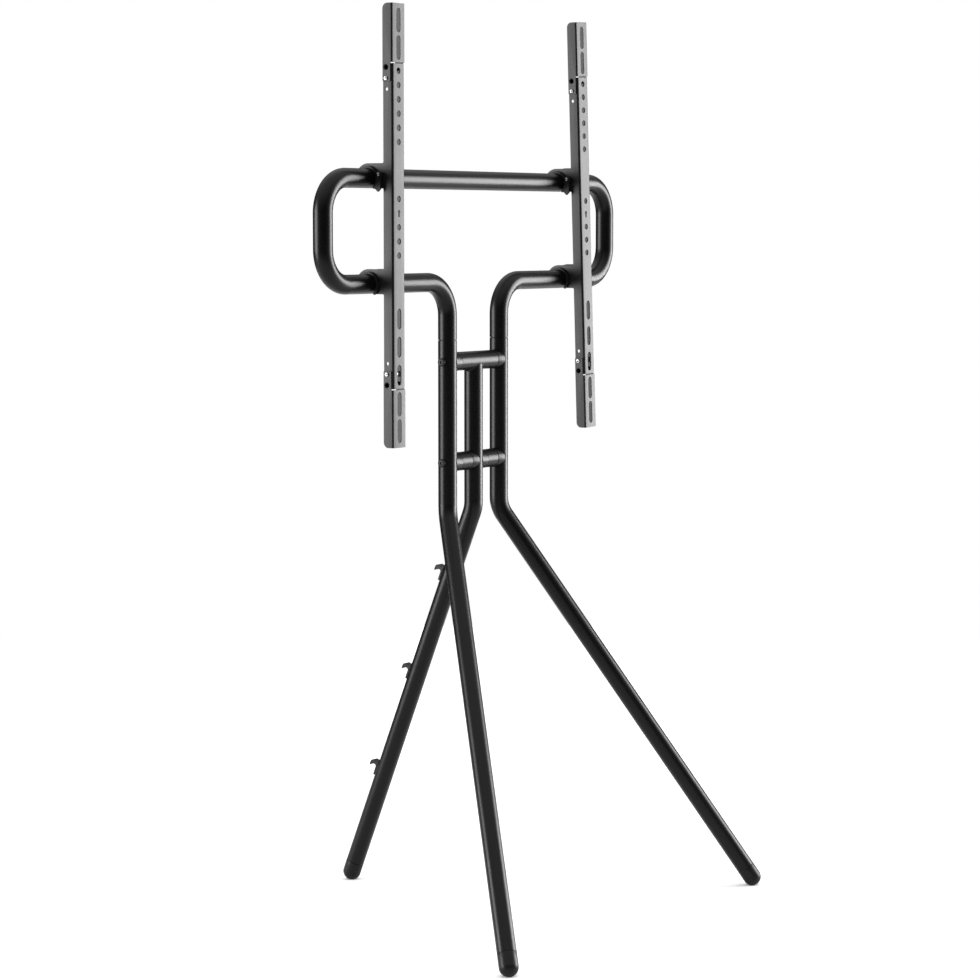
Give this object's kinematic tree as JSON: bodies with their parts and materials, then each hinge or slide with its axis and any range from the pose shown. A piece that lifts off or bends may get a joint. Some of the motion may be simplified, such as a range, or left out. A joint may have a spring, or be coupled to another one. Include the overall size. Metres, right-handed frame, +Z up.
{
  "type": "easel screen stand",
  "caption": "Black steel-tube easel stand with splayed legs, a looped head frame and sliding drilled arms that hook over its bars to carry a flat screen.",
  "frame": {"origin": "on the floor, under the middle of the stand's outline", "axes": "+Z up, +X along the bars, the screen side faces -Y"},
  "size_m": [0.746, 0.563, 1.3411],
  "materials": {
    "black_powder_coat": "satin powder coat",
    "arm_coat": "fine satin powder coat",
    "black_plastic": "moulded",
    "black_rubber": "matte",
    "plated_steel": "zinc plated",
    "dark_bolt": "black oxide"
  },
  "bodies": {
    "frame": {"head_frame": "black_powder_coat", "left_spigot": "dark_bolt", "right_spigot": "dark_bolt", "left_front_leg": "black_powder_coat", "right_front_leg": "black_powder_coat", "rear_leg": "black_powder_coat", "upper_cross_tube": "black_powder_coat", "left_lower_cross_tube": "black_powder_coat", "right_lower_cross_tube": "black_powder_coat", "upper_left_collar": "black_powder_coat", "upper_right_collar": "black_powder_coat", "lower_left_outer_collar": "black_powder_coat", "lower_left_inner_collar": "black_powder_coat", "lower_right_inner_collar": "black_powder_coat", "lower_right_outer_collar": "black_powder_coat", "tube_inserts": "plated_steel", "post_bolts": "dark_bolt", "cup_washers": "dark_bolt", "centre_stud": "plated_steel", "left_front_foot": "black_rubber", "right_front_foot": "black_rubber", "rear_foot": "black_rubber", "lower_cable_clip": "black_plastic", "middle_cable_clip": "black_plastic", "upper_cable_clip": "black_plastic"},
    "left_arm": {"left_arm_channel": "arm_coat", "left_upper_hook_liner": "black_plastic", "left_lower_hook_liner": "black_plastic", "left_catch_screw": "plated_steel", "left_upper_extension": "arm_coat", "left_lower_extension": "arm_coat", "left_upper_extension_screws": "plated_steel", "left_lower_extension_screws": "plated_steel", "left_clinch_nuts": "dark_bolt", "left_blind_bushes": "black_plastic"},
    "right_arm": {"right_arm_channel": "arm_coat", "right_upper_hook_liner": "black_plastic", "right_lower_hook_liner": "black_plastic", "right_catch_screw": "plated_steel", "right_upper_extension": "arm_coat", "right_lower_extension": "arm_coat", "right_upper_extension_screws": "plated_steel", "right_lower_extension_screws": "plated_steel", "right_clinch_nuts": "dark_bolt", "right_blind_bushes": "black_plastic"},
    "left_catch": {"left_hook_catch": "black_plastic"},
    "right_catch": {"right_hook_catch": "black_plastic"}
  },
  "joints": [
    {"name": "left_arm_slide", "type": "slide", "parent": "frame", "child": "left_arm", "axis": [1, 0, 0], "range_m": [-0.0435, 0.1055]},
    {"name": "right_arm_slide", "type": "slide", "parent": "frame", "child": "right_arm", "axis": [1, 0, 0], "range_m": [-0.1088, 0.0452]},
    {"name": "left_catch_turn", "type": "hinge", "parent": "left_arm", "child": "left_catch", "pos_m": [-0.2612, 0.0072, 1.0997], "axis": [-1, 0, 0], "range_deg": [0, 100]},
    {"name": "right_catch_turn", "type": "hinge", "parent": "right_arm", "child": "right_catch", "pos_m": [0.21652, 0.0072, 1.09961], "axis": [-0.9988, 0, -0.0488], "range_deg": [0, 100]}
  ]
}
